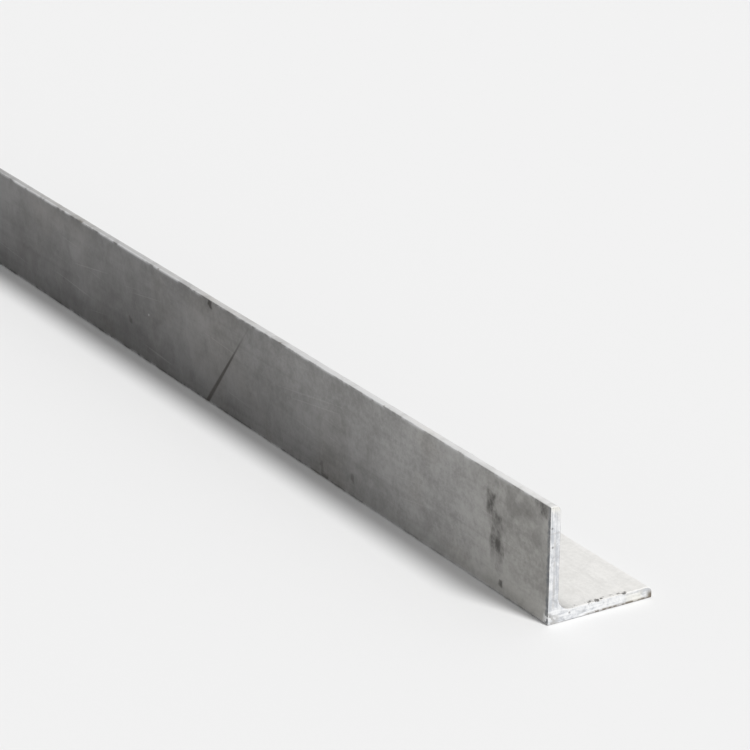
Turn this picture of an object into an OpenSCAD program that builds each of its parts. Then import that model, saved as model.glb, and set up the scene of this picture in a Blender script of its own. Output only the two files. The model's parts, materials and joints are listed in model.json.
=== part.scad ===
// Equal-leg angle section: one rolled steel bar with an L-shaped section, cut square at both
// ends. It lies on the outer face of one leg, with the other leg standing up along its -Y side.
// Millimetres. The bar runs along X. The origin is under the middle of the bar's box, on the
// floor.

/* [Stock] */
// Length that the bar is cut to
bar_length = 3000; // [500:50:12000]

/* [Legs] */
// Width of each leg, from the back of the heel to the toe
leg_width = 50; // [40:1:100]
// Thickness of both legs
leg_thickness = 5; // [4:0.5:10]

/* [Rolled corners] */
// Radius of the fillet in the root, where the inner faces of the legs meet
root_radius = 6; // [3:0.5:10]
// Radius that rounds the inner edge of each toe
toe_radius = 3; // [1:0.25:3.5]
// Radius of the heel, where the outer faces of the legs meet
heel_radius = 0.8; // [0.2:0.1:3]

/* [Hidden] */
// Segments of a full circle
$fn = 96;
// How far a corner piece reaches over the edges that it meets, so that none of them coincide
overlap = 1;

// The area between a square corner at the origin and the arc that rounds it, in the first
// quadrant. Added to an inside corner it is a fillet. Cut from an outside corner it is a round.
module corner_web(radius) {
    difference() {
        translate([-overlap, -overlap])
            square(radius + overlap);
        translate([radius, radius])
            circle(radius);
    }
}

// The two legs meeting square at the heel, at the origin
module square_legs() {
    square([leg_width, leg_thickness]);
    square([leg_thickness, leg_width]);
}

// The round on the inner edge of the flat leg's toe
module toe_round() {
    translate([leg_width, leg_thickness])
        rotate(180)
            corner_web(toe_radius);
}

// The rolled section, with the flat leg along +X and the upright leg along +Y
module rolled_section() {
    difference() {
        union() {
            square_legs();
            translate([leg_thickness, leg_thickness])
                corner_web(root_radius);
        }
        corner_web(heel_radius);
        toe_round();
        // The upright leg is the flat leg mirrored across the section's own diagonal
        mirror([1, -1])
            toe_round();
    }
}

module angle_bar() {
    color([0.66, 0.67, 0.68])
        translate([-bar_length / 2, -leg_width / 2, 0])
            rotate([90, 0, 90])
                linear_extrude(height = bar_length)
                    rolled_section();
}

angle_bar();
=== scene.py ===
"""Looks of a hot-dip zinc coated steel angle section, lying on a pale floor.

The bar's section is swept along X in rings that crowd together towards both cut ends. Each ring
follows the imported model's section, pushed in or out by the zinc's own relief: a slow swell, a
fine ripple, zinc beads, and nicks along the long edges. A point of the section is u, along the
flat leg from the heel, and v, up the upright leg. All lengths are in metres.
"""
import json
import math
import random
from types import SimpleNamespace

import bpy
import numpy as np
from mathutils import Matrix, Vector, noise


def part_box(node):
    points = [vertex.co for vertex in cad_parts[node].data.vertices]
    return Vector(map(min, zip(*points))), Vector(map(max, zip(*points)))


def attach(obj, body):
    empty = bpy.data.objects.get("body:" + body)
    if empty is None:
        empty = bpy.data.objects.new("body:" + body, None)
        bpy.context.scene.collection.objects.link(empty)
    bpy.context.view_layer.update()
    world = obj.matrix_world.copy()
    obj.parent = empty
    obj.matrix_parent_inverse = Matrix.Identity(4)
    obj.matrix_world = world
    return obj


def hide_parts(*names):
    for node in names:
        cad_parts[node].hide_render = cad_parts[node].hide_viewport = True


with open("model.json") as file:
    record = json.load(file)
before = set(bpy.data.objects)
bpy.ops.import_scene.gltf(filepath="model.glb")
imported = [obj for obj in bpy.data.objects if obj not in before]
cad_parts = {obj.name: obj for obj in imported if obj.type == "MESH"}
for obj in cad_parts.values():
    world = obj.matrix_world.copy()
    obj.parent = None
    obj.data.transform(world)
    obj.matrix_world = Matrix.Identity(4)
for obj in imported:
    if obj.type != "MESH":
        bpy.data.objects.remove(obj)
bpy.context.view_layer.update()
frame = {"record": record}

MM = 0.001

# The bar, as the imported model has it
NODE = "angle_bar"
LOW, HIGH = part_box(NODE)
HALF_LENGTH = (HIGH.x - LOW.x) / 2
LEG = HIGH.z - LOW.z
MOUNTS = {mount["name"]: Vector(mount["pos_m"]) for mount in frame["record"]["mounts"]}
THICKNESS = MOUNTS["flat_leg_inner_face"].z - LOW.z
ROOT_RADIUS = 6 * MM
TOE_RADIUS = 3 * MM
HEEL_RADIUS = 0.8 * MM
# The two sharp corners of the toes, softened by the zinc
ARRIS_RADIUS = 0.4 * MM
# The heel's corner at the end nearest the camera
NEAR_HEEL = Vector((HIGH.x, LOW.y, LOW.z))

# The edge all round a cut end. Its rings, from the cut inwards, are this far along the bar and
# drawn in this far towards the steel, both in radii.
CUT_RADIUS = 0.18 * MM
CUT_RINGS = ((0, 1.0), (0.3, 0.42), (0.9, 0.06))

# Steps of the section's outline and rings along the bar
FLAT_STEPS = 18
ROOT_STEPS = 5
HEEL_STEPS = 2
TOE_STEPS = 3
END_STEP = 0.9 * MM
STEP_GROWTH = 0.0062
# How soon the lines across a cut end turn from a toe's shape to straight ones
TOE_FADE = 16

# Relief of the zinc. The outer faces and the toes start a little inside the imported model, so that
# it stays within the model's box.
SKIN_INSET = 0.09 * MM
SWELL_SIZE = 35 * MM
SWELL_HEIGHT = 0.07 * MM
RIPPLE_SIZE = 6 * MM
RIPPLE_HEIGHT = 0.03 * MM
# Beads and nicks crowd towards the ends by this power
END_CROWDING = 1.5
BEADS = 150
BEAD_REACH = 0.35
BEAD_RADIUS = (0.9 * MM, 2.6 * MM)
# A bead's height over its radius
BEAD_HEIGHT = (0.08, 0.2)
NICKS_PER_METRE = 26
NICK_RADIUS = (1.2 * MM, 4.5 * MM)
NICK_DEPTH = (0.06 * MM, 0.45 * MM)
# The skin goes in no further than this, besides a cut's rounding, so that no corner folds over
# where nicks overlap
DEEPEST = 0.8 * ARRIS_RADIUS
DEEPEST_AT_CUT = SKIN_INSET + 0.03 * MM
SEED = 20

# A cut end is slightly and unevenly dished inside its rim
DISH_DEPTH = 0.08 * MM
DISH_SIZE = 4 * MM
DISH_RIM = 0.8 * MM
DISH_SEED = 9

# How strongly a bend in the outline shows as a worn edge, and a toe's wide round beside a sharp
# corner
BEND_WEAR = 1.6
ROUND_WEAR = 0.35

# The UV map that finishes are baked on. The skin lies on it in strips as wide as the map, tall
# ones for the bar's two ends and lower ones between. Both cut ends lie side by side below them.
MAP_NAME = "OFBake"
MAP_GAP = 0.0015
HALF_MAP = 0.5
CUT_STRIP = 0.034
END_STRIP = 0.322
MIDDLE_STRIP = 0.161
END_STRIP_LENGTH = 0.5

# The order of the bar's materials
SKIN_SLOT = 0
CUT_SLOT = 1


def arc(centre, radius, start, end, steps):
    """Points on an arc in the section's plane, from start to end in degrees."""
    angles = [math.radians(start + (end - start) * i / steps) for i in range(steps + 1)]
    return [(centre[0] + radius * math.cos(a), centre[1] + radius * math.sin(a)) for a in angles]


def straight(start, end, steps, crowding=0.6):
    """Points between two corners, both left out, closer together near the corners."""
    shares = [i / steps for i in range(1, steps)]
    shares = [s - crowding * math.sin(2 * math.pi * s) / (2 * math.pi) for s in shares]
    (u, v), (end_u, end_v) = start, end
    return [(u + (end_u - u) * s, v + (end_v - v) * s) for s in shares]


def with_mirror(half):
    """Half a path, from the flat leg's toe to the section's diagonal, and its mirror image."""
    return half + [(v, u) for u, v in reversed(half[:-1])]


def outer_path():
    """The section's outside, from the flat leg's toe round the heel to the upright's toe."""
    corner = arc((LEG - ARRIS_RADIUS, ARRIS_RADIUS), ARRIS_RADIUS, -45, -90, 1)
    heel = arc((HEEL_RADIUS, HEEL_RADIUS), HEEL_RADIUS, -90, -135, HEEL_STEPS)
    # As many points as the inner path has, so that the end face is a grid between the two
    steps = FLAT_STEPS + ROOT_STEPS + TOE_STEPS - HEEL_STEPS - 1
    return with_mirror(corner + straight(corner[-1], heel[0], steps) + heel)


def inner_path():
    """The section's inside, from the flat leg's toe round the root to the upright's toe."""
    toe = arc((LEG - TOE_RADIUS, THICKNESS - TOE_RADIUS), TOE_RADIUS, 45, 90, TOE_STEPS)
    root_centre = THICKNESS + ROOT_RADIUS
    root = arc((root_centre, root_centre), ROOT_RADIUS, -90, -135, ROOT_STEPS)
    return with_mirror(toe + straight(toe[-1], root[0], FLAT_STEPS) + root)


def toe_path():
    """The flat leg's toe, from the outer path's first point to the inner path's first point."""
    corner = arc((LEG - ARRIS_RADIUS, ARRIS_RADIUS), ARRIS_RADIUS, -45, 0, 1)
    toe = arc((LEG - TOE_RADIUS, THICKNESS - TOE_RADIUS), TOE_RADIUS, 0, 45, TOE_STEPS)
    return corner + straight(corner[-1], toe[0], steps=2, crowding=0) + toe


OUTER, INNER, TOE = outer_path(), inner_path(), toe_path()
ALONG = len(OUTER) - 1
ACROSS = len(TOE) - 1


def grid_point(i, j):
    """A point of the end face's grid, i along the section and j across its thickness."""
    along, across = i / ALONG, j / ACROSS
    point = []
    for k in (0, 1):
        value = OUTER[i][k] * (1 - across) + INNER[i][k] * across
        at_flat_toe = TOE[j][k] - OUTER[0][k] * (1 - across) - INNER[0][k] * across
        at_upright_toe = TOE[j][1 - k] - OUTER[-1][k] * (1 - across) - INNER[-1][k] * across
        value += at_flat_toe * (1 - along) ** TOE_FADE + at_upright_toe * along ** TOE_FADE
        point.append(value)
    return point


def outline_places():
    """The grid's border as places (i, j), once round."""
    places = [(i, 0) for i in range(ALONG + 1)]
    places += [(ALONG, j) for j in range(1, ACROSS)]
    places += [(i, ACROSS) for i in range(ALONG, -1, -1)]
    places += [(0, j) for j in range(ACROSS - 1, 0, -1)]
    return places


PLACES = outline_places()
POINTS = np.array([grid_point(i, j) for i, j in PLACES])
COUNT = len(POINTS)


def outward_normals():
    """The outline's normals, away from the steel. It runs clockwise seen from the near end."""
    step = np.roll(POINTS, -1, axis=0) - np.roll(POINTS, 1, axis=0)
    step /= np.linalg.norm(step, axis=1)[:, None]
    return np.stack([-step[:, 1], step[:, 0]], axis=1)


NORMALS = outward_normals()


def edge_wear():
    """How much each point of the outline shows wear and painted highlight: 0 on a flat or in the
    root, towards 1 on an edge.
    """
    turn = np.cross(np.roll(NORMALS, 1, axis=0), np.roll(NORMALS, -1, axis=0))
    bend = np.clip(-turn * BEND_WEAR, 0, 1)
    corners = np.array([(0, 0), (LEG, 0), (0, LEG)])
    away = np.linalg.norm(POINTS[:, None] - corners, axis=2).min(axis=1)
    return bend * np.where(away < 1.2 * HEEL_RADIUS, 1, ROUND_WEAR)


def outline_masks():
    """What each point of the outline belongs to, from 0 to 1, for the material."""
    u, v = POINTS[:, 0], POINTS[:, 1]
    inside = np.arange(COUNT) >= ALONG + ACROSS
    inside[-(ACROSS - 1):] = False
    outer_face = ~inside & (u < 0.01 * MM)
    # The flat leg's inner face, rising from 0 to 1 along the root's fillet
    flat_face = inside & (v < 1.2 * THICKNESS)
    past_root = (u - 1.1 * THICKNESS) / (1.2 * ROOT_RADIUS)
    # The toes are where the outline faces the way that its leg points
    at_toe = np.maximum(u, v) > LEG - 1.5 * TOE_RADIUS
    facing = (np.where(u > v, NORMALS[:, 0], NORMALS[:, 1]) - 0.4) / 0.5
    root_middle = (THICKNESS + ROOT_RADIUS) / 2
    near_root = 1 - np.hypot(u - root_middle, v - root_middle) / (3 * ROOT_RADIUS)
    return {
        "edge": edge_wear(),
        "outer": outer_face.astype(float),
        "pale": np.clip(past_root, 0, 1) * flat_face,
        "toe": np.clip(facing, 0, 1) * at_toe,
        "root": np.clip(near_root, 0, 1) * inside,
    }


def ring_distances():
    """Ring distances from an end to the middle, crowded together at the end."""
    found = [END_STEP]
    while found[-1] < HALF_LENGTH:
        found.append(found[-1] + END_STEP + STEP_GROWTH * found[-1])
    scale = HALF_LENGTH / found[-1]
    return [distance * scale for distance in found]


def rings():
    """Each ring's place along X, and how far the rounded edge draws it in, in radii."""
    half = [(HALF_LENGTH - inwards * CUT_RADIUS, draw) for inwards, draw in CUT_RINGS]
    half += [(HALF_LENGTH - distance, 0.0) for distance in ring_distances()]
    other = [(-x, draw) for x, draw in reversed(half[:-1])]
    return half + other


def round_shares():
    """How far round the outline each point is, from 0, and 1 back at the first point."""
    steps = np.linalg.norm(np.roll(POINTS, -1, axis=0) - POINTS, axis=1)
    return np.concatenate([[0], np.cumsum(steps) / steps.sum()])


def map_strips(stations):
    """For each ring but the last, the left, right, bottom and top of its place on the UV map."""
    xs = np.array([x for x, _ in stations])
    reach = HALF_LENGTH - END_STRIP_LENGTH
    cuts = [int(np.abs(xs - x).argmin()) for x in (HALF_LENGTH, reach, 0, -reach, -HALF_LENGTH)]
    heights = (END_STRIP, MIDDLE_STRIP, MIDDLE_STRIP, END_STRIP)
    places, bottom = [], CUT_STRIP
    for first, last, height in zip(cuts, cuts[1:], heights):
        shares = (xs[first] - xs[first:last + 1]) / (xs[first] - xs[last])
        across = MAP_GAP + (1 - 2 * MAP_GAP) * shares
        for left, right in zip(across, across[1:]):
            places.append((left, right, bottom + MAP_GAP, bottom + height - MAP_GAP))
        bottom += height
    return places


def cut_place(side, i, j):
    """Where a point of a cut end's grid lies on the UV map."""
    left = MAP_GAP if side > 0 else HALF_MAP + MAP_GAP
    across = left + (HALF_MAP - 2 * MAP_GAP) * i / ALONG
    return across, MAP_GAP + (CUT_STRIP - 2 * MAP_GAP) * j / ACROSS


def push_spots(places, push, spots):
    """Adds round spots to the skin's push: each has a centre, a radius and a height."""
    for centre, radius, height in spots:
        near = np.abs(places[:, 0, 0] - centre[0]) < radius
        offset = (places[near] - centre) / radius
        away = np.minimum((offset ** 2).sum(axis=2), 1)
        push[near] += height * (1 - away) ** 2


def beads(chance):
    """Small zinc beads near the ends."""
    spots = []
    for _ in range(BEADS):
        from_end = BEAD_REACH * chance.random() ** END_CROWDING
        x = (HALF_LENGTH - from_end) * chance.choice((-1, 1))
        u, v = POINTS[chance.randrange(COUNT)]
        radius = chance.uniform(*BEAD_RADIUS)
        spots.append((np.array([x, u, v]), radius, radius * chance.uniform(*BEAD_HEIGHT)))
    return spots


def nicks(chance):
    """Dents of handling along the toes and the heel."""
    spots = []
    edges = [(0, 0), (0, LEG), (LEG, 0), (LEG, THICKNESS), (THICKNESS, LEG)]
    for _ in range(int(NICKS_PER_METRE * 2 * HALF_LENGTH)):
        from_end = HALF_LENGTH * chance.random() ** END_CROWDING
        x = (HALF_LENGTH - from_end) * chance.choice((-1, 1))
        # No smaller than the step between rings there
        radius = max(chance.uniform(*NICK_RADIUS), STEP_GROWTH * from_end)
        depth = chance.uniform(*NICK_DEPTH)
        spots.append((np.array([x, *chance.choice(edges)]), radius, -depth))
    return spots


def relief(places):
    """How far the zinc pushes each point of the skin out, or in where it is below zero."""
    chance = random.Random(SEED)
    push = np.empty(places.shape[:2])
    for r, k in np.ndindex(push.shape):
        place = Vector(places[r, k])
        swell = noise.noise(place / SWELL_SIZE) * SWELL_HEIGHT
        push[r, k] = swell + noise.noise(place / RIPPLE_SIZE) * RIPPLE_HEIGHT
    push_spots(places, push, beads(chance))
    push_spots(places, push, nicks(chance))
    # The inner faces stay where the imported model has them
    return push - SKIN_INSET * (np.array(PLACES)[:, 1] < ACROSS)


def skin_places(stations):
    """The skin's points as (x, u, v), ring by ring."""
    places = np.empty((len(stations), COUNT, 3))
    places[:, :, 0] = np.array([x for x, _ in stations])[:, None]
    places[:, :, 1:] = POINTS[None]
    draw = np.array([draw for _, draw in stations])[:, None]
    push = relief(places) - draw * CUT_RADIUS
    deepest = np.where(draw > 0, DEEPEST_AT_CUT + draw * CUT_RADIUS, DEEPEST)
    push = np.maximum(push, -deepest)
    places[:, :, 1:] += NORMALS[None] * push[:, :, None]
    places[:, :, 1:] = np.clip(places[:, :, 1:], 0, LEG)
    return places


def skin_faces(stations):
    """The faces between the rings, and their corners on the UV map."""
    faces, corners = [], []
    shares = round_shares()
    for r, (left, right, bottom, top) in enumerate(map_strips(stations)):
        for k in range(COUNT):
            a, b = r * COUNT + k, r * COUNT + (k + 1) % COUNT
            faces.append((a, b, b + COUNT, a + COUNT))
            low, high = (bottom + (top - bottom) * share for share in shares[k:k + 2])
            corners += [(left, low), (left, high), (right, high), (right, low)]
    return faces, corners


def dish(side, u, v):
    """How far a point of a cut end lies behind the end's rim."""
    rough = noise.noise(Vector((side * DISH_SEED, u / DISH_SIZE, v / DISH_SIZE)))
    from_rim = np.linalg.norm(POINTS - (u, v), axis=1).min()
    return DISH_DEPTH * (1 + rough) * min(1, (from_rim / DISH_RIM) ** 2)


def cut_face(side, rim, first):
    """The points inside a cut end's rim, its faces, and their corners on the UV map.

    The end's side is 1 or -1, its rim is the ring whose first point has the number rim, and its
    own points are numbered from first."""
    at = {place: rim + k for k, place in enumerate(PLACES)}
    points, faces, corners = [], [], []
    for i in range(1, ALONG):
        for j in range(1, ACROSS):
            u, v = grid_point(i, j)
            at[i, j] = first + len(points)
            points.append([side * (HALF_LENGTH - dish(side, u, v)), u, v])
    for i in range(ALONG):
        for j in range(ACROSS):
            quad = [(i, j), (i, j + 1), (i + 1, j + 1), (i + 1, j)]
            if side < 0:
                quad.reverse()
            faces.append([at[place] for place in quad])
            corners += [cut_place(side, *place) for place in quad]
    return points, faces, corners


def build_bar():
    stations = rings()
    points = skin_places(stations).reshape(-1, 3).tolist()
    faces, corners = skin_faces(stations)
    slots = [SKIN_SLOT] * len(faces)
    for side, rim in ((1, 0), (-1, len(points) - COUNT)):
        own_points, own_faces, own_corners = cut_face(side, rim, len(points))
        points += own_points
        faces += own_faces
        corners += own_corners
        slots += [CUT_SLOT] * len(own_faces)
    mesh = bpy.data.meshes.new("zinc_bar")
    mesh.from_pydata([(x, LOW.y + u, LOW.z + v) for x, u, v in points], [], faces)
    mesh.polygons.foreach_set("material_index", slots)
    mesh.polygons.foreach_set("use_smooth", [True] * len(faces))
    layer = mesh.uv_layers.new(name=MAP_NAME)
    layer.uv.foreach_set("vector", np.array(corners, np.float32).ravel())
    for name, values in outline_masks().items():
        # The same on every ring, and 0 inside the cut ends
        on_points = np.zeros(len(points), np.float32)
        on_points[:len(stations) * COUNT] = np.tile(values, len(stations))
        mesh.attributes.new(name, "FLOAT", "POINT").data.foreach_set("value", on_points)
    mesh.update()
    bar = bpy.data.objects.new("zinc_bar", mesh)
    bpy.context.scene.collection.objects.link(bar)
    return bar


class Painter:
    """Adds nodes to a new material. A value is a number, a tuple or another node's output."""

    def __init__(self, name):
        self.material = bpy.data.materials.new(name)
        self.material.use_nodes = True
        self.tree = self.material.node_tree
        self.shader = self.tree.nodes["Principled BSDF"]
        self.place = self.node("ShaderNodeTexCoord").outputs["Object"]
        parts = self.node("ShaderNodeSeparateXYZ", {"Vector": self.place})
        self.x, self.y, self.z = parts.outputs

    def node(self, kind, values=None, **settings):
        made = self.tree.nodes.new(kind)
        for name, value in settings.items():
            setattr(made, name, value)
        for name, value in (values or {}).items():
            self.set(made.inputs[name], value)
        return made

    def set(self, socket, value):
        if isinstance(value, bpy.types.NodeSocket):
            self.tree.links.new(value, socket)
        else:
            socket.default_value = value

    def shade(self, name, value):
        """Sets one of the shader's own values."""
        self.set(self.shader.inputs[name], value)

    def math(self, operation, a, b=0.0):
        made = self.node("ShaderNodeMath", operation=operation)
        self.set(made.inputs[0], a)
        self.set(made.inputs[1], b)
        return made.outputs[0]

    def product(self, *factors):
        found = factors[0]
        for factor in factors[1:]:
            found = self.math("MULTIPLY", found, factor)
        return found

    def most(self, *values):
        found = values[0]
        for value in values[1:]:
            found = self.math("MAXIMUM", found, value)
        return found

    def rest(self, share):
        """What a share leaves of 1."""
        return self.math("SUBTRACT", 1.0, share)

    def about(self, pattern, weight):
        """A pattern of 0 to 1, set round zero and weighted."""
        return self.product(self.math("SUBTRACT", pattern, 0.5), weight)

    def total(self, *pairs):
        """The sum of patterns of 0 to 1, each set round zero and weighted."""
        found = 0.0
        for pattern, weight in pairs:
            found = self.math("ADD", found, self.about(pattern, weight))
        return found

    def measure(self, value, zero, unit):
        """How far a coordinate is past zero, in units."""
        return self.math("DIVIDE", self.math("SUBTRACT", value, zero), unit)

    def stretched(self, scale, place=None):
        """The place, scaled along each axis, for a pattern with a grain."""
        values = {0: place or self.place, 1: scale}
        return self.node("ShaderNodeVectorMath", values, operation="MULTIPLY").outputs[0]

    def noise(self, size, detail=3.0, roughness=0.55, grain=(1, 1, 1), distortion=0.0, place=None):
        """Noise with features of about that size in metres, from 0 to 1."""
        values = {
            "Vector": self.stretched(tuple(g / size for g in grain), place),
            "Scale": 1.0,
            "Detail": detail,
            "Roughness": roughness,
            "Distortion": distortion,
        }
        return self.node("ShaderNodeTexNoise", values).outputs["Fac"]

    def between(self, value, low, high, to_low=0.0, to_high=1.0):
        """Maps value from low..high to to_low..to_high, smoothly and clamped."""
        values = {0: value, 1: low, 2: high, 3: to_low, 4: to_high}
        made = self.node("ShaderNodeMapRange", interpolation_type="SMOOTHSTEP")
        for index, one in values.items():
            self.set(made.inputs[index], one)
        return made.outputs[0]

    def below(self, value, low, high):
        """1 up to low, fading to 0 at high."""
        return self.between(value, low, high, 1, 0)

    def band(self, value, low, high, soft):
        """1 between low and high, with soft edges outside."""
        rise = self.between(value, low - soft, low)
        return self.product(rise, self.below(value, high, high + soft))

    def spots(self, size, radius, share):
        """Round spots of that radius, in cells of that size, in a share of the cells."""
        values = {"Vector": self.stretched((1 / size,) * 3), "Scale": 1.0}
        cells = self.node("ShaderNodeTexVoronoi", values)
        near = self.below(cells.outputs["Distance"], 0.3 * radius / size, radius / size)
        lot = self.node("ShaderNodeSeparateColor", {0: cells.outputs["Color"]}).outputs[0]
        return self.product(near, self.math("LESS_THAN", lot, share))

    def attribute(self, name):
        return self.node("ShaderNodeAttribute", attribute_name=name).outputs["Fac"]

    def mix(self, factor, a, b, way="MIX"):
        made = self.node("ShaderNodeMix", data_type="RGBA", blend_type=way)
        self.set(made.inputs["Factor"], factor)
        for socket, value in ((made.inputs[6], a), (made.inputs[7], b)):
            self.set(socket, (*value, 1.0) if isinstance(value, tuple) else value)
        return made.outputs[2]

    def bump(self, height, distance):
        values = {"Height": height, "Distance": distance}
        return self.node("ShaderNodeBump", values).outputs[0]


# Zinc from dull to bright, and what lies on it. The split between the dull and mid zinc and the
# pale and toe zinc is painted light: the dull zinc stands for zinc in shade, and the pale and toe
# zinc for sunlit zinc.
DULL_ZINC = (0.248, 0.244, 0.236)
MID_ZINC = (0.408, 0.403, 0.395)
PALE_LOW = (0.68, 0.672, 0.652)
PALE_HIGH = (0.81, 0.80, 0.78)
WHITE_ZINC = (0.74, 0.745, 0.75)
COOL_ZINC = (0.47, 0.485, 0.51)
WARM_ZINC = (0.70, 0.685, 0.62)
TOE_ZINC = (0.655, 0.655, 0.65)
# The cut's burr shadow, painted as a dark line on the outer face
BURR_SHADOW = (0.155, 0.163, 0.175)
STAIN = (0.058, 0.054, 0.049)
RUST = (0.125, 0.102, 0.074)
# Colours that the zinc is multiplied by. SHADE is painted shade.
SHADE = (0.52, 0.52, 0.525)
END_TINT = (1.0, 0.992, 0.965)
WARM_TINT = (1.0, 0.96, 0.90)

# Gloss and relief of the plain zinc, of the pale, chalky zinc and of the cut ends
ZINC_METAL, CHALK_METAL, CUT_METAL = 0.36, 0.08, 0.15
ZINC_ROUGHNESS, CHALK_ROUGHNESS, CUT_ROUGHNESS = 0.5, 0.66, 0.55
ZINC_BUMP, CUT_BUMP = 0.22 * MM, 0.35 * MM

# How far the outer face's stains stray from their places, in legs
STRAY = 0.11
# The scratch on the outer face: how far its foot is from the near end, in legs, and its lean
SCRATCH_FOOT = 5.3675
SCRATCH_LEAN = math.radians(38.67)
# Hairlines to a metre, along the bar and across it
HAIRLINES_ALONG = 14
HAIRLINES_ACROSS = 900


def smudge(p, at, far, up, soft, strength):
    """A soft stain on the outer face, over these stretches of the places at, all in legs."""
    return p.product(p.band(at.far, *far, soft), p.band(at.up, *up, soft), strength)


def smear(p, at):
    """A smeared run of dirt near the cut, dark at its top, with a drop at its foot."""
    return p.most(
        smudge(p, at, far=(0.77, 0.82), up=(0.66, 0.80), soft=0.06, strength=0.85),
        smudge(p, at, far=(0.68, 0.76), up=(0.56, 0.66), soft=0.06, strength=0.85),
        smudge(p, at, far=(0.66, 0.77), up=(0.37, 0.57), soft=0.055, strength=0.85),
        smudge(p, at, far=(0.66, 0.76), up=(0.23, 0.35), soft=0.06, strength=0.38),
        smudge(p, at, far=(0.635, 0.655), up=(0.085, 0.11), soft=0.035, strength=0.8),
    )


def ticks(p, at):
    """Small dark marks along the outer face."""
    return p.most(
        smudge(p, at, far=(2.86, 2.875), up=(0.16, 0.20), soft=0.028, strength=0.5),
        smudge(p, at, far=(3.36, 3.37), up=(0.05, 0.15), soft=0.025, strength=0.4),
        smudge(p, at, far=(3.29, 3.36), up=(0.01, 0.04), soft=0.04, strength=0.65),
        smudge(p, at, far=(5.29, 5.32), up=(0.95, 0.985), soft=0.03, strength=0.9),
        smudge(p, at, far=(6.81, 6.83), up=(0.30, 0.325), soft=0.03, strength=0.6),
    )


def leaning_scratch(p, far, up, warp):
    """A thin dark scratch that leans over, wider and stronger towards its foot."""
    along = p.product(p.math("SUBTRACT", far, SCRATCH_FOOT), math.cos(SCRATCH_LEAN))
    away = p.math("ABSOLUTE", p.math("ADD", along, p.product(up, math.sin(SCRATCH_LEAN))))
    width = p.between(up, 0.0, 0.85, 0.034, 0.013)
    return p.product(
        p.below(p.math("DIVIDE", away, width), 0.35, 1.0),
        p.between(up, 0.45, 0.9, 0.97, 0.12),
        p.below(up, 0.93, 0.97),
        p.between(warp, 0.25, 0.5, 0.75, 1.0),
    )


def outer_marks(p):
    """Stains and scratches on the upright leg's outer face, from dirt and handling.

    Places are in legs: how far from the near end, and how high."""
    far = p.measure(HIGH.x, p.x, LEG)
    up = p.measure(p.z, LOW.z, LEG)
    warp = p.noise(6 * MM, detail=2)
    off = p.about(warp, STRAY)
    at = SimpleNamespace(far=p.math("ADD", far, off), up=p.math("ADD", up, off))
    corner = smudge(p, at, far=(0.08, 0.16), up=(0.91, 0.97), soft=0.075, strength=0.9)
    streaks = p.noise(3.0 * MM, detail=3, roughness=0.7, grain=(1, 1, 0.5))
    stains = p.product(p.most(smear(p, at), corner), p.between(streaks, 0.34, 0.66, 0.3, 1.0))
    # A faint film of dirt between the corner's stain and the smear
    film = smudge(p, at, far=(0.15, 0.68), up=(0.60, 0.90), soft=0.12, strength=0.24)
    film = p.product(film, p.between(p.noise(8 * MM, detail=3, roughness=0.6), 0.38, 0.60))
    return p.most(stains, film, leaning_scratch(p, far, up, warp), ticks(p, at))


def hairlines(p, lean, seed):
    """Fine lines that run almost along the bar, on every face."""
    across = p.math("ADD", p.math("ADD", p.y, p.z), p.product(p.x, lean))
    x, y = p.product(p.x, HAIRLINES_ALONG), p.product(across, HAIRLINES_ACROSS)
    place = p.node("ShaderNodeCombineXYZ", {"X": x, "Y": y, "Z": seed}).outputs[0]
    lines = p.node("ShaderNodeTexNoise", {"Vector": place, "Scale": 1.0, "Detail": 1.0})
    return p.between(lines.outputs["Fac"], 0.70, 0.78)


def cut_specks(p, along):
    """The broken line of specks where the flat leg's inner face meets the cut."""
    ragged = p.noise(2.1 * MM, detail=4, roughness=0.62)
    return p.product(p.band(along, 0.22, 0.72, 0.12), p.between(ragged, 0.51, 0.60, 0.05, 0.9))


def skin_patterns(p):
    """Places, patterns and masks that the zinc's colour, gloss and relief share."""
    s = SimpleNamespace()
    s.from_end = p.math("SUBTRACT", HALF_LENGTH, p.math("ABSOLUTE", p.x))
    s.along = p.measure(p.y, LOW.y, LEG)
    s.up = p.measure(p.z, LOW.z, LEG)
    s.patch = p.noise(160 * MM, detail=3, grain=(0.45, 1, 1))
    s.cloud = p.noise(34 * MM, detail=3)
    s.blotch = p.noise(11 * MM, detail=3, roughness=0.6, distortion=0.5)
    s.streak = p.noise(3.2 * MM, detail=2, roughness=0.6, grain=(0.025, 1, 1))
    s.grain = p.noise(2.2 * MM, detail=2, roughness=0.75)
    s.frost = p.noise(0.6 * MM, detail=3, roughness=0.65)
    s.lines = p.most(hairlines(p, lean=0.05, seed=3.0), hairlines(p, lean=-0.16, seed=8.0))
    s.dross = p.spots(size=12 * MM, radius=1.0 * MM, share=0.16)
    s.outer = p.attribute("outer")
    s.edge = p.attribute("edge")
    s.worn = p.product(s.edge, p.between(s.blotch, 0.40, 0.60))
    s.marks = p.product(outer_marks(p), s.outer)
    # Painted sunlight on the flat leg's inner face and on the toes, weaker away from the ends
    s.pale = p.product(p.attribute("pale"), p.between(s.from_end, 0.03, 0.4, 1.0, 0.62))
    s.toe = p.product(p.attribute("toe"), p.between(s.from_end, 0.05, 0.6, 1.0, 0.35))
    # Painted shade: darker zinc away from the ends, and a little less so towards the middle
    rise = p.between(s.from_end, 0.02, 0.34)
    s.far = p.product(rise, p.between(s.from_end, 0.4, 1.1, 1.0, 0.62))
    return s


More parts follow.
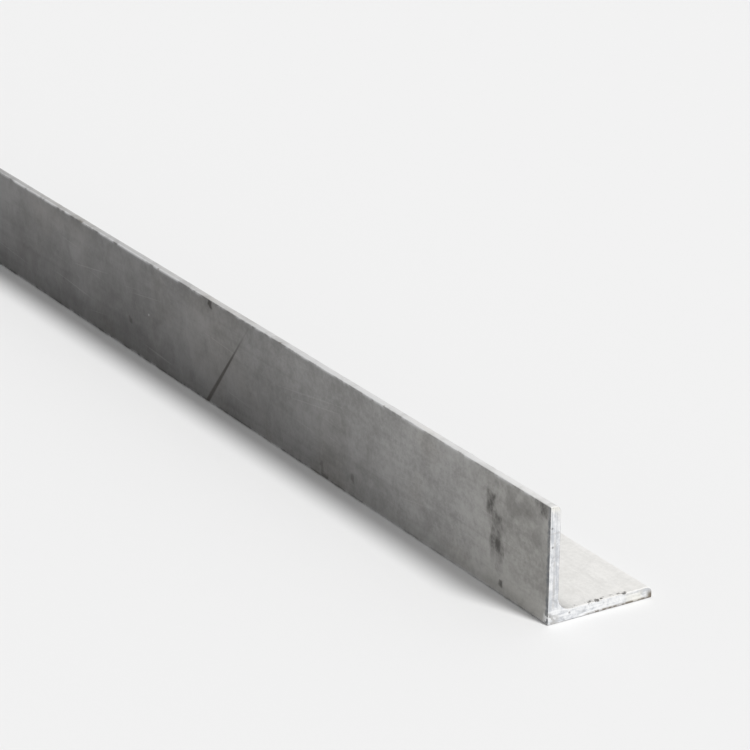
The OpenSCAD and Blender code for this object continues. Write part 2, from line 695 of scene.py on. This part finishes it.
def mottled_zinc(p, s):
    """Dull zinc, paler on the flat leg's inner face and on the toes as painted sunlight."""
    wide = p.total((s.patch, 0.7), (s.cloud, 0.7), (s.blotch, 0.78))
    fine = p.total((s.grain, 1.0), (s.streak, 0.55), (s.frost, 0.55))
    tone = p.math("ADD", wide, fine)
    level = p.between(tone, -0.5, 0.5)
    colour = p.mix(level, DULL_ZINC, MID_ZINC)
    colour = p.mix(s.pale, colour, p.mix(level, PALE_LOW, PALE_HIGH))
    # Painted sunlight on the toes, brightest right at the ends
    sunlit_toe_zinc = p.mix(p.between(s.from_end, 0.02, 0.07, 0.35, 0), TOE_ZINC, PALE_HIGH)
    on_toe = p.product(s.toe, p.between(s.blotch, 0.3, 0.5, 0.7, 0.95))
    return p.mix(on_toe, colour, sunlit_toe_zinc)


def shaded(p, s, colour):
    """Painted shade, darker away from the ends and low on the outer face, and painted light,
    paler at the heel by the end.
    """
    # Painted shade away from the ends, weaker on the flat leg's inner face and the toes
    kept = p.rest(p.product(p.most(s.toe, s.pale), 0.75))
    colour = p.mix(p.product(s.far, kept), colour, SHADE, "MULTIPLY")
    # Painted shade low on the outer face, away from the ends
    low = p.product(p.between(s.up, 0.1, 1.0, 0.78, 0.0), p.between(s.up, 0.04, 0.16, 0.6, 1.0))
    low = p.product(s.outer, p.most(low, p.below(s.up, 0.015, 0.04)))
    colour = p.mix(p.product(low, p.between(s.from_end, 0.015, 0.19)), colour, SHADE, "MULTIPLY")
    # Painted light: the outer face paler low down by the ends, at the heel
    foot = p.product(p.between(s.up, 0.02, 0.26, 0.2, 0.0), p.below(s.from_end, 0.03, 0.12))
    return p.mix(p.product(s.outer, foot), colour, PALE_LOW)


def tinted(p, s, colour):
    """Faintly yellow on the outer face by the ends, and warm in wide patches elsewhere."""
    by_end = p.product(s.outer, p.below(s.from_end, 0.02, 0.08))
    colour = p.mix(by_end, colour, END_TINT, "MULTIPLY")
    patches = p.noise(50 * MM, detail=2, place=p.stretched((1, -1, -1)))
    return p.mix(p.between(patches, 0.5, 0.7, 0, 0.35), colour, WARM_TINT, "MULTIPLY")


def specked(p, s, colour):
    """Pinheads of dross, hairlines, dark specks, and dirt with painted shade along the root."""
    specks = p.spots(size=16 * MM, radius=0.8 * MM, share=0.2)
    colour = p.mix(p.product(s.dross, 0.5), colour, PALE_LOW)
    colour = p.mix(p.product(s.lines, 0.03), colour, PALE_HIGH)
    colour = p.mix(p.product(specks, 0.5), colour, STAIN)
    # Dirt along the root, with painted shade in its corner, stronger away from the ends
    root_dirt_and_shade = p.product(p.attribute("root"), p.between(s.blotch, 0.3, 0.65, 0.25, 0.6))
    root_dirt_and_shade = p.product(root_dirt_and_shade, p.between(s.far, 0, 1, 0.3, 1))
    return p.mix(root_dirt_and_shade, colour, SHADE, "MULTIPLY")


def worn_edges(p, s, colour):
    """Edges rubbed bright in places, with a painted highlight too, and rusty in others."""
    # Bright edges: partly rubbed zinc, partly a painted highlight
    colour = p.mix(p.product(s.worn, 0.6), colour, WHITE_ZINC)
    edge = p.most(s.edge, p.below(s.from_end, 0.6 * MM, 2.2 * MM))
    patches = p.between(p.noise(4.5 * MM, detail=2), 0.62, 0.70)
    rust = p.product(edge, patches, p.between(s.from_end, 0.01, 0.2, 0.25, 0.6))
    return p.mix(rust, colour, RUST)


def marked_by_cut(p, s, colour):
    """Beside a cut: a dark line on the outer face, a painted shadow of its burr, rubbed zinc at its
    foot, and specks.
    """
    ragged = p.math("ADD", s.from_end, p.about(s.grain, 2 * MM))
    broken = p.between(p.noise(2.6 * MM, detail=2), 0.42, 0.6, 0.95, 0.45)
    # A thin dark line on the outer face by the cut, a painted shadow of the cut's burr
    burr_shadow = p.product(s.outer, p.below(ragged, 1.0 * MM, 2.1 * MM), broken)
    colour = p.mix(burr_shadow, colour, BURR_SHADOW)
    specks = p.product(s.pale, p.below(s.from_end, 1.0 * MM, 2.6 * MM), cut_specks(p, s.along))
    colour = p.mix(specks, colour, STAIN)
    foot = p.product(p.below(s.from_end, 1.2 * MM, 4.0 * MM), p.below(s.up, 0.07, 0.17))
    rubbed = p.product(s.outer, foot, p.between(s.grain, 0.47, 0.58, 0, 0.85))
    return p.mix(rubbed, colour, WHITE_ZINC)


def zinc_skin():
    """The zinc on the rolled surfaces."""
    p = Painter("zinc_skin")
    s = skin_patterns(p)
    colour = mottled_zinc(p, s)
    for step in (shaded, tinted, specked, worn_edges, marked_by_cut):
        colour = step(p, s, colour)
    p.shade("Base Color", p.mix(s.marks, colour, STAIN))
    # The zinc under the painted sunlight on the flat leg and toes is also a duller, chalkier coat
    chalk = p.most(s.pale, s.toe)
    metal = p.between(chalk, 0, 1, ZINC_METAL, CHALK_METAL)
    p.shade("Metallic", p.most(metal, p.product(s.worn, 0.6)))
    rough = p.total(
        (s.cloud, -0.25), (s.blotch, -0.3), (s.grain, 0.3), (s.frost, 0.3), (s.lines, -0.1)
    )
    rough = p.math("ADD", rough, p.product(s.marks, 0.2))
    rough = p.math("SUBTRACT", rough, p.product(s.worn, 0.15))
    rough = p.math("ADD", rough, p.between(chalk, 0, 1, ZINC_ROUGHNESS, CHALK_ROUGHNESS))
    p.shade("Roughness", rough)
    height = p.total((s.blotch, 0.8), (s.grain, 0.55), (s.streak, 0.35), (s.frost, 0.1))
    height = p.math("ADD", height, p.total((s.dross, 0.8), (s.lines, -0.15)))
    p.shade("Normal", p.bump(height, ZINC_BUMP))
    return p.material


def cut_patterns(p):
    """Places and patterns of the cut ends. The shear's streaks run along each leg."""
    s = SimpleNamespace()
    s.along = p.measure(p.y, LOW.y, LEG)
    s.up = p.measure(p.z, LOW.z, LEG)
    s.blotch = p.noise(5 * MM, detail=3, roughness=0.6, distortion=0.8)
    s.cloud = p.noise(12 * MM, detail=2)
    s.mottle = p.noise(2.6 * MM, detail=2)
    s.grain = p.noise(0.9 * MM, detail=2, roughness=0.7)
    upright_streak = p.noise(0.9 * MM, detail=2, roughness=0.6, grain=(1, 1, 0.06))
    flat_streak = p.noise(0.9 * MM, detail=2, roughness=0.6, grain=(1, 0.06, 1))
    s.on_upright = p.between(s.up, 0.10, 0.14)
    upright_part = p.product(s.on_upright, upright_streak)
    flat_part = p.product(p.rest(s.on_upright), flat_streak)
    s.streak = p.math("ADD", upright_part, flat_part)
    return s


def cut_zinc(p, s):
    """Cool to white zinc, warmer towards the toes and greyer at the heel."""
    tone = p.total((s.blotch, 1.7), (s.cloud, 0.6), (s.grain, 0.8), (s.streak, 2.2))
    tone = p.math("SUBTRACT", tone, p.product(s.on_upright, 0.14))
    # Cool to white zinc, the white partly the zinc's own and partly painted sunlight
    colour = p.mix(p.between(tone, -0.6, 0.24), COOL_ZINC, WHITE_ZINC)
    toes = p.most(p.between(s.along, 0.45, 0.95), p.between(s.up, 0.8, 1.0))
    colour = p.mix(p.product(toes, p.between(s.cloud, 0.42, 0.6, 0.1, 0.7)), colour, WARM_ZINC)
    heel = p.product(p.below(s.along, 0.06, 0.14), p.below(s.up, 0.05, 0.12))
    heel = p.product(heel, p.between(s.mottle, 0.44, 0.56, 0.1, 0.9))
    return p.mix(p.most(heel, p.between(s.blotch, 0.40, 0.30, 0, 0.5)), colour, MID_ZINC)


def shear_lines(p, s, colour):
    """The shear's own line down the upright leg, and a line across it."""
    down = p.product(p.band(s.along, 0.046, 0.058, 0.008), p.band(s.up, 0.16, 0.72, 0.05))
    down = p.product(down, p.between(s.blotch, 0.4, 0.55, 0.2, 0.6))
    across = p.product(p.band(s.up, 0.766, 0.774, 0.006), 0.4)
    return p.mix(p.most(down, across), colour, MID_ZINC)


def specked_cut(p, s, colour):
    """Dark specks along the inner edge and at the heel, rust below and at the toe's corner."""
    inner_edge = p.product(p.between(s.up, 0.084, 0.096), cut_specks(p, s.along))
    heel = p.product(p.below(s.along, 0.01, 0.05), p.below(s.up, 0.04, 0.13))
    heel = p.product(heel, p.between(s.mottle, 0.50, 0.58, 0, 0.8))
    colour = p.mix(p.most(inner_edge, heel), colour, STAIN)
    bottom_edge = p.product(p.below(s.up, 0.012, 0.028), p.band(s.along, 0.42, 1.0, 0.1))
    bottom_edge = p.product(bottom_edge, p.between(s.mottle, 0.40, 0.54, 0.45, 0.95))
    toe_corner = p.product(p.between(s.along, 0.93, 0.98), p.below(s.up, 0.03, 0.09), 0.95)
    colour = p.mix(p.most(bottom_edge, toe_corner), colour, RUST)
    dots = p.spots(size=7 * MM, radius=0.7 * MM, share=0.3)
    return p.mix(p.product(dots, 0.6), colour, STAIN)


def cut_end():
    """The sheared and zinc coated ends, their near-white partly painted sunlight."""
    p = Painter("cut_end")
    s = cut_patterns(p)
    colour = shear_lines(p, s, cut_zinc(p, s))
    p.shade("Base Color", specked_cut(p, s, colour))
    p.shade("Metallic", CUT_METAL)
    p.shade("Roughness", p.math("ADD", p.total((s.blotch, 0.4), (s.streak, 0.3)), CUT_ROUGHNESS))
    height = p.total((s.blotch, 1.0), (s.streak, 0.8), (s.grain, 0.3))
    p.shade("Normal", p.bump(height, CUT_BUMP))
    return p.material


bar = build_bar()
bar.data.materials.append(zinc_skin())
bar.data.materials.append(cut_end())
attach(bar, "root")
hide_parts(NODE)


# Floor, light and camera
FLOOR_SIZE = 120
FLOOR_COLOUR = (0.8, 0.8, 0.8)
FLOOR_ROUGHNESS = 0.9
SUN_TOWARDS = Vector((0.66, 0.17, 0.73))
SUN_STRENGTH = 3.0
SUN_WIDTH = math.radians(14)
SKY_LEVEL = 0.4
# What the camera and reflections see of the world, as bright as the floor
BACKDROP_LEVEL = 0.895
# The photograph's viewpoint and frame, in legs from the near heel
VIEWPOINT = Vector((18.09, -12.94, 10.85))
AIM = Vector((-3.0, 0.3, 1.0))
FRAME_PIXELS = 750
FOCAL_PIXELS = 3200
SENSOR_WIDTH = 36
ROLL = math.radians(0.46)


def build_floor():
    half = FLOOR_SIZE / 2
    corners = [(-half, -half, 0), (half, -half, 0), (half, half, 0), (-half, half, 0)]
    mesh = bpy.data.meshes.new("floor")
    mesh.from_pydata(corners, [], [(0, 1, 2, 3)])
    p = Painter("pale_floor")
    p.shade("Base Color", (*FLOOR_COLOUR, 1))
    p.shade("Roughness", FLOOR_ROUGHNESS)
    mesh.materials.append(p.material)
    floor = bpy.data.objects.new("floor", mesh)
    bpy.context.scene.collection.objects.link(floor)


def build_sun():
    light = bpy.data.lights.new("sun", "SUN")
    light.energy = SUN_STRENGTH
    light.angle = SUN_WIDTH
    sun = bpy.data.objects.new("sun", light)
    sun.rotation_euler = SUN_TOWARDS.to_track_quat("Z", "Y").to_euler()
    bpy.context.scene.collection.objects.link(sun)


def build_world():
    world = bpy.data.worlds.new("sky")
    world.use_nodes = True
    tree = world.node_tree
    path = tree.nodes.new("ShaderNodeLightPath")
    seen = path.outputs["Is Camera Ray"]
    for name in ("Is Glossy Ray", "Is Transmission Ray"):
        either = tree.nodes.new("ShaderNodeMath")
        either.operation = "MAXIMUM"
        tree.links.new(seen, either.inputs[0])
        tree.links.new(path.outputs[name], either.inputs[1])
        seen = either.outputs[0]
    level = tree.nodes.new("ShaderNodeMapRange")
    level.inputs["To Min"].default_value = SKY_LEVEL
    level.inputs["To Max"].default_value = BACKDROP_LEVEL
    tree.links.new(seen, level.inputs["Value"])
    tree.links.new(level.outputs[0], tree.nodes["Background"].inputs["Strength"])
    tree.nodes["Background"].inputs["Color"].default_value = (1, 1, 1, 1)
    bpy.context.scene.world = world


def build_camera():
    data = bpy.data.cameras.new("camera")
    data.sensor_width = SENSOR_WIDTH
    data.lens = SENSOR_WIDTH * FOCAL_PIXELS / FRAME_PIXELS
    data.clip_end = 2 * FLOOR_SIZE
    camera = bpy.data.objects.new("camera", data)
    camera.location = NEAR_HEEL + LEG * VIEWPOINT
    target = NEAR_HEEL + LEG * AIM
    aim = (target - camera.location).to_track_quat("-Z", "Y")
    camera.rotation_mode = "QUATERNION"
    camera.rotation_quaternion = aim @ Matrix.Rotation(ROLL, 3, "Z").to_quaternion()
    bpy.context.scene.collection.objects.link(camera)
    bpy.context.scene.camera = camera


build_floor()
build_sun()
build_world()
build_camera()
bpy.context.scene.view_settings.view_transform = "Standard"
